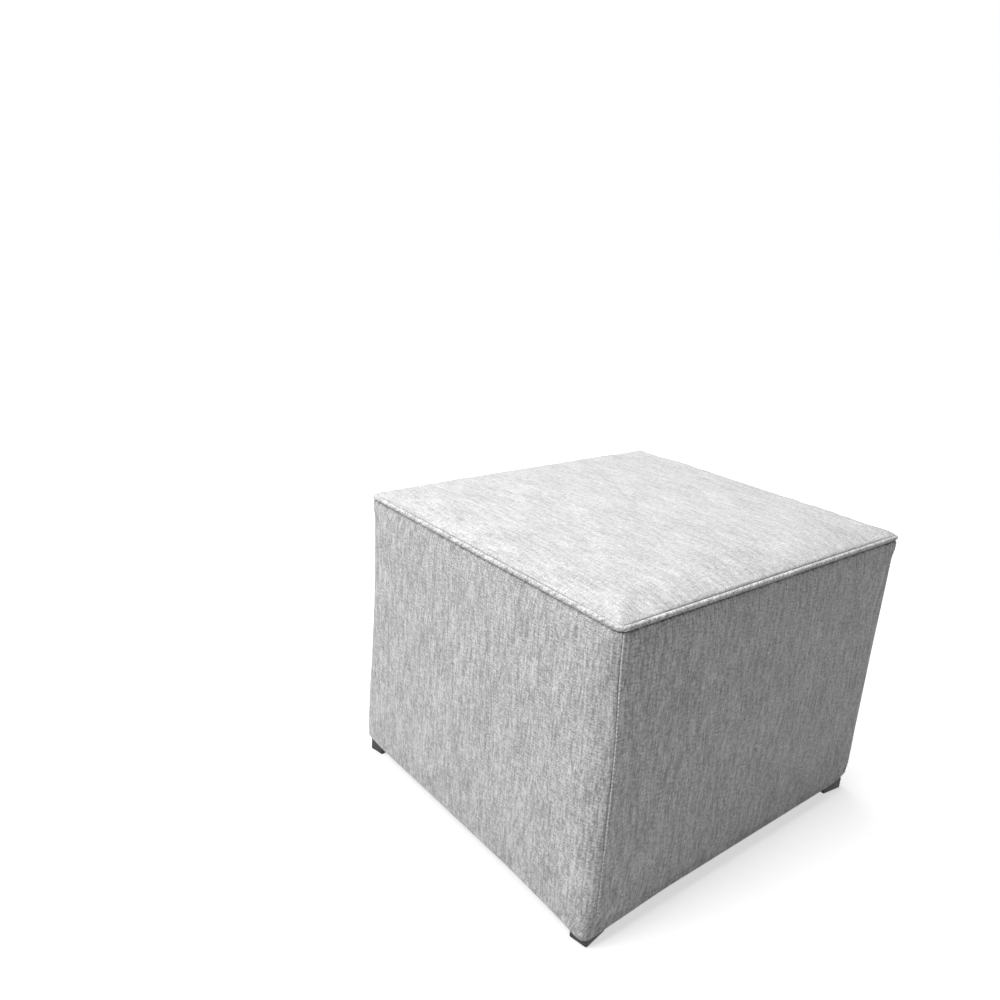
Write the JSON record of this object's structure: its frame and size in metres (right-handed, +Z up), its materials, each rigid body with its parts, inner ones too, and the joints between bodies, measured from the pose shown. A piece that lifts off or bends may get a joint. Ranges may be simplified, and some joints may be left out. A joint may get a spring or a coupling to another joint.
{
  "type": "ottoman",
  "caption": "Box-shaped upholstered ottoman with a crowned top, a welt round its edge and small block feet.",
  "frame": {"origin": "on the floor under the middle of the ottoman, at the centre of the bottom of its box", "axes": "+X to the right along the width, +Z up; the front is -Y"},
  "size_m": [0.5024, 0.4424, 0.3849],
  "materials": {
    "cover_fabric": "matte",
    "welt_fabric": "matte",
    "welt_cord": "matte",
    "wadding": "matte",
    "foam": "matte",
    "felt": "matte",
    "dust_cloth": "matte",
    "frame_wood": "matte",
    "dowel_wood": "matte",
    "backing_board": "matte",
    "spring_wire": "satin",
    "clip_steel": "satin",
    "screw_steel": "satin",
    "foot_plastic": "matte"
  },
  "bodies": {
    "root": {"corner_post_front_left": "frame_wood", "corner_post_front_right": "frame_wood", "corner_post_rear_right": "frame_wood", "corner_post_rear_left": "frame_wood", "bottom_rail_front": "frame_wood", "bottom_rail_right": "frame_wood", "bottom_rail_rear": "frame_wood", "bottom_rail_left": "frame_wood", "top_rail_front": "frame_wood", "top_rail_right": "frame_wood", "top_rail_rear": "frame_wood", "top_rail_left": "frame_wood", "frame_dowels": "dowel_wood", "backing_board_front": "backing_board", "backing_board_right": "backing_board", "backing_board_rear": "backing_board", "backing_board_left": "backing_board", "sinuous_spring_1": "spring_wire", "sinuous_spring_2": "spring_wire", "sinuous_spring_3": "spring_wire", "sinuous_spring_4": "spring_wire", "spring_clips": "clip_steel", "clip_screws": "screw_steel", "tie_rods": "spring_wire", "tie_clips": "clip_steel", "felt_insulator": "felt", "seat_foam": "foam", "crown_foam": "foam", "top_wadding": "wadding", "side_wadding_front": "wadding", "side_wadding_right": "wadding", "side_wadding_rear": "wadding", "side_wadding_left": "wadding", "top_cover": "cover_fabric", "side_cover_front": "cover_fabric", "side_cover_right": "cover_fabric", "side_cover_rear": "cover_fabric", "side_cover_left": "cover_fabric", "welt_cover": "welt_fabric", "welt_cord": "welt_cord", "dust_cover": "dust_cloth", "foot_front_left": "foot_plastic", "foot_front_right": "foot_plastic", "foot_rear_right": "foot_plastic", "foot_rear_left": "foot_plastic", "foot_screws": "screw_steel"}
  },
  "joints": []
}
